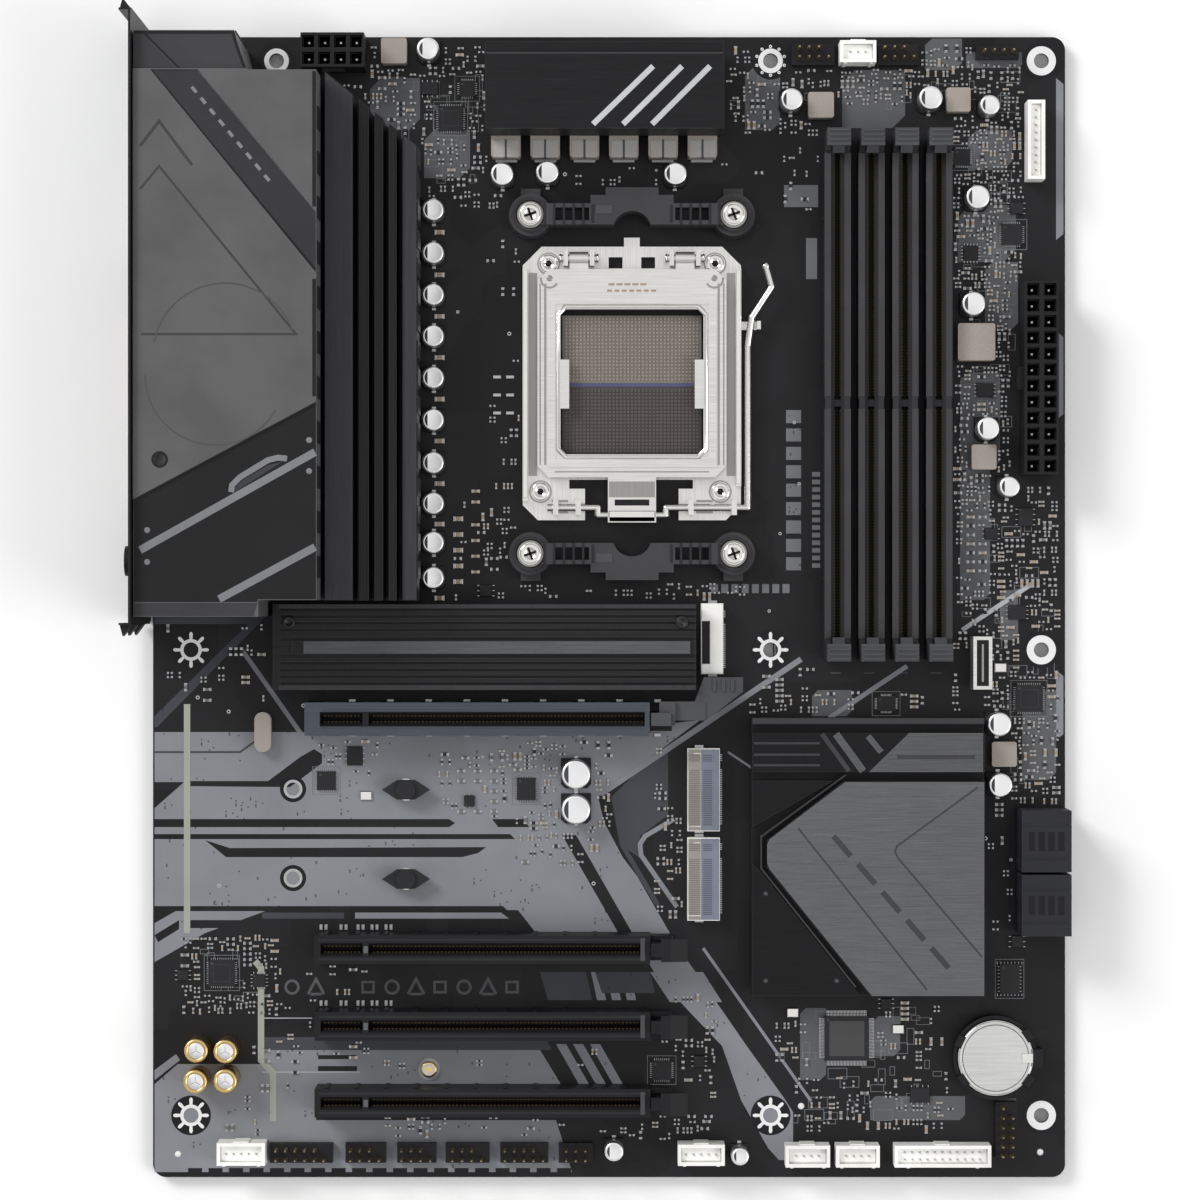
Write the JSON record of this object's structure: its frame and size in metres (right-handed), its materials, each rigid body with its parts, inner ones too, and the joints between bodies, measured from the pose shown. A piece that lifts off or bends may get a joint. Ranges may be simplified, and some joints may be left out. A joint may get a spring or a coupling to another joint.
{
  "type": "motherboard",
  "caption": "Full-size desktop computer mainboard with processor socket, memory and card slots, heatsinks, rear connector cover, power sockets and latches that move.",
  "frame": {"origin": "centre of the lower rear mounting hole, at the underside of the board", "axes": "+X away from the rear connector edge, +Y along the board's long edge towards the processor power socket, +Z out of the component side"},
  "size_m": [0.2481, 0.3094, 0.045],
  "materials": {
    "board_black": "satin black solder mask",
    "board_print": "blue-grey ink print",
    "trace_gold": "gold-plated pad",
    "trace_tan": "bare separation line",
    "solder": "tinned",
    "shroud_grey": "fine-textured grey",
    "shroud_dark": "fine-textured dark",
    "shroud_line": "light grey print",
    "heatsink_dark": "dark anodised, brushed",
    "heatsink_grey": "grey painted",
    "shield_dark": "black",
    "steel": "satin nickel",
    "steel_bright": "bright nickel",
    "steel_dark": "black coated",
    "armour": "blue-grey plated",
    "can": "bright aluminium",
    "plastic_black": "moulded black",
    "plastic_charcoal": "moulded charcoal",
    "plastic_grey": "moulded mid grey",
    "plastic_white": "moulded off-white",
    "contact_field": "dense gilt contacts on dark plastic",
    "ferrite": "grey-tan pressed ferrite",
    "chip": "moulded epoxy",
    "pad": "soft thermal pad",
    "cell": "stamped steel"
  },
  "bodies": {
    "board": {"pcb": "board_black", "io_shield": "shield_dark", "io_shroud": "shroud_grey", "vrm_heatsink_rear": "heatsink_dark", "vrm_heatsink_top": "heatsink_dark", "thermal_pads": "pad", "power_stages": "chip", "power_chokes": "ferrite", "m2_heatsink": "heatsink_dark", "chipset_heatsink": "heatsink_dark", "chipset": "chip", "heatsink_screws": "steel_bright", "cpu_socket_body": "plastic_black", "cpu_socket_contacts": "contact_field", "socket_frame": "steel", "socket_backplate": "steel_dark", "socket_screws": "steel_bright", "cooler_bracket_upper": "plastic_black", "cooler_bracket_lower": "plastic_black", "cooler_bracket_screws": "steel_bright", "dimm_slots": "plastic_charcoal", "pcie_slot_1": "plastic_black", "pcie_slot_armour": "armour", "pcie_slots_2_to_4": "plastic_black", "m2_sockets": "plastic_white", "m2_posts": "steel_bright", "atx_power_24pin": "plastic_black", "cpu_power_8pin": "plastic_black", "sata_ports": "plastic_charcoal", "usb_front_header": "steel", "battery": "cell", "battery_holder": "plastic_black", "capacitors": "can", "inductors_and_crystal": "ferrite", "controller_chips": "chip", "pin_headers": "plastic_black", "white_headers": "plastic_white", "connector_tails": "solder", "rear_usb_ports": "steel", "rear_video_ports": "steel", "rear_lan_port": "steel", "rear_audio_jacks": "plastic_black", "rear_port_inserts": "plastic_black"},
    "load_plate": {"socket_load_plate": "steel"},
    "lever": {"socket_lever": "steel_bright"},
    "button": {"firmware_button": "plastic_white"},
    "m2_latch_1": {"m2_latch_1": "plastic_charcoal"},
    "m2_latch_2": {"m2_latch_2": "plastic_charcoal"},
    "dimm_latch_1_upper": {"dimm_latch_1_upper": "plastic_grey"},
    "dimm_latch_1_lower": {"dimm_latch_1_lower": "plastic_grey"},
    "pcie_latch_1": {"pcie_latch_1": "plastic_grey"},
    "dimm_latch_2_upper": {"dimm_latch_2_upper": "plastic_grey"},
    "dimm_latch_2_lower": {"dimm_latch_2_lower": "plastic_grey"},
    "pcie_latch_2": {"pcie_latch_2": "plastic_black"},
    "dimm_latch_3_upper": {"dimm_latch_3_upper": "plastic_grey"},
    "dimm_latch_3_lower": {"dimm_latch_3_lower": "plastic_grey"},
    "pcie_latch_3": {"pcie_latch_3": "plastic_black"},
    "dimm_latch_4_upper": {"dimm_latch_4_upper": "plastic_grey"},
    "dimm_latch_4_lower": {"dimm_latch_4_lower": "plastic_grey"},
    "pcie_latch_4": {"pcie_latch_4": "plastic_black"}
  },
  "joints": [
    {"name": "socket_lever_hinge", "type": "hinge", "parent": "board", "child": "lever", "pos_m": [0.11784, 0.16239, 0.0053], "axis": [1, 0, 0], "range_deg": [0, 130]},
    {"name": "load_plate_hinge", "type": "hinge", "parent": "board", "child": "load_plate", "pos_m": [0.11784, 0.22869, 0.0068], "axis": [-1, 0, 0], "range_deg": [0, 110]},
    {"name": "dimm_latch_1_upper_hinge", "type": "hinge", "parent": "board", "child": "dimm_latch_1_upper", "pos_m": [0.17234, 0.25929, 0.0051], "axis": [-1, 0, 0], "range_deg": [0, 30]},
    {"name": "dimm_latch_1_lower_hinge", "type": "hinge", "parent": "board", "child": "dimm_latch_1_lower", "pos_m": [0.17234, 0.12449, 0.0051], "axis": [1, 0, 0], "range_deg": [0, 30]},
    {"name": "dimm_latch_2_upper_hinge", "type": "hinge", "parent": "board", "child": "dimm_latch_2_upper", "pos_m": [0.18131, 0.25929, 0.0051], "axis": [-1, 0, 0], "range_deg": [0, 30]},
    {"name": "dimm_latch_2_lower_hinge", "type": "hinge", "parent": "board", "child": "dimm_latch_2_lower", "pos_m": [0.18131, 0.12449, 0.0051], "axis": [1, 0, 0], "range_deg": [0, 30]},
    {"name": "dimm_latch_3_upper_hinge", "type": "hinge", "parent": "board", "child": "dimm_latch_3_upper", "pos_m": [0.19028, 0.25929, 0.0051], "axis": [-1, 0, 0], "range_deg": [0, 30]},
    {"name": "dimm_latch_3_lower_hinge", "type": "hinge", "parent": "board", "child": "dimm_latch_3_lower", "pos_m": [0.19028, 0.12449, 0.0051], "axis": [1, 0, 0], "range_deg": [0, 30]},
    {"name": "dimm_latch_4_upper_hinge", "type": "hinge", "parent": "board", "child": "dimm_latch_4_upper", "pos_m": [0.19925, 0.25929, 0.0051], "axis": [-1, 0, 0], "range_deg": [0, 30]},
    {"name": "dimm_latch_4_lower_hinge", "type": "hinge", "parent": "board", "child": "dimm_latch_4_lower", "pos_m": [0.19925, 0.12449, 0.0051], "axis": [1, 0, 0], "range_deg": [0, 30]},
    {"name": "pcie_latch_1_hinge", "type": "hinge", "parent": "board", "child": "pcie_latch_1", "pos_m": [0.12604, 0.10629, 0.0048], "axis": [0, 1, 0], "range_deg": [0, 15]},
    {"name": "pcie_latch_2_hinge", "type": "hinge", "parent": "board", "child": "pcie_latch_2", "pos_m": [0.12604, 0.04533, 0.0048], "axis": [0, 1, 0], "range_deg": [0, 35]},
    {"name": "pcie_latch_3_hinge", "type": "hinge", "parent": "board", "child": "pcie_latch_3", "pos_m": [0.12604, 0.02501, 0.0048], "axis": [0, 1, 0], "range_deg": [0, 35]},
    {"name": "pcie_latch_4_hinge", "type": "hinge", "parent": "board", "child": "pcie_latch_4", "pos_m": [0.12604, 0.00469, 0.0048], "axis": [0, 1, 0], "range_deg": [0, 35]},
    {"name": "m2_latch_1_turn", "type": "hinge", "parent": "board", "child": "m2_latch_1", "pos_m": [0.05764, 0.08723, 0.005], "axis": [0, 0, 1], "range_deg": [0, 90]},
    {"name": "m2_latch_2_turn", "type": "hinge", "parent": "board", "child": "m2_latch_2", "pos_m": [0.05764, 0.06344, 0.005], "axis": [0, 0, 1], "range_deg": [0, 90]},
    {"name": "firmware_button_press", "type": "slide", "parent": "board", "child": "button", "axis": [1, 0, 0], "range_m": [0, 0.0008], "stiffness_N_per_m": 300, "springref_m": -0.001}
  ]
}
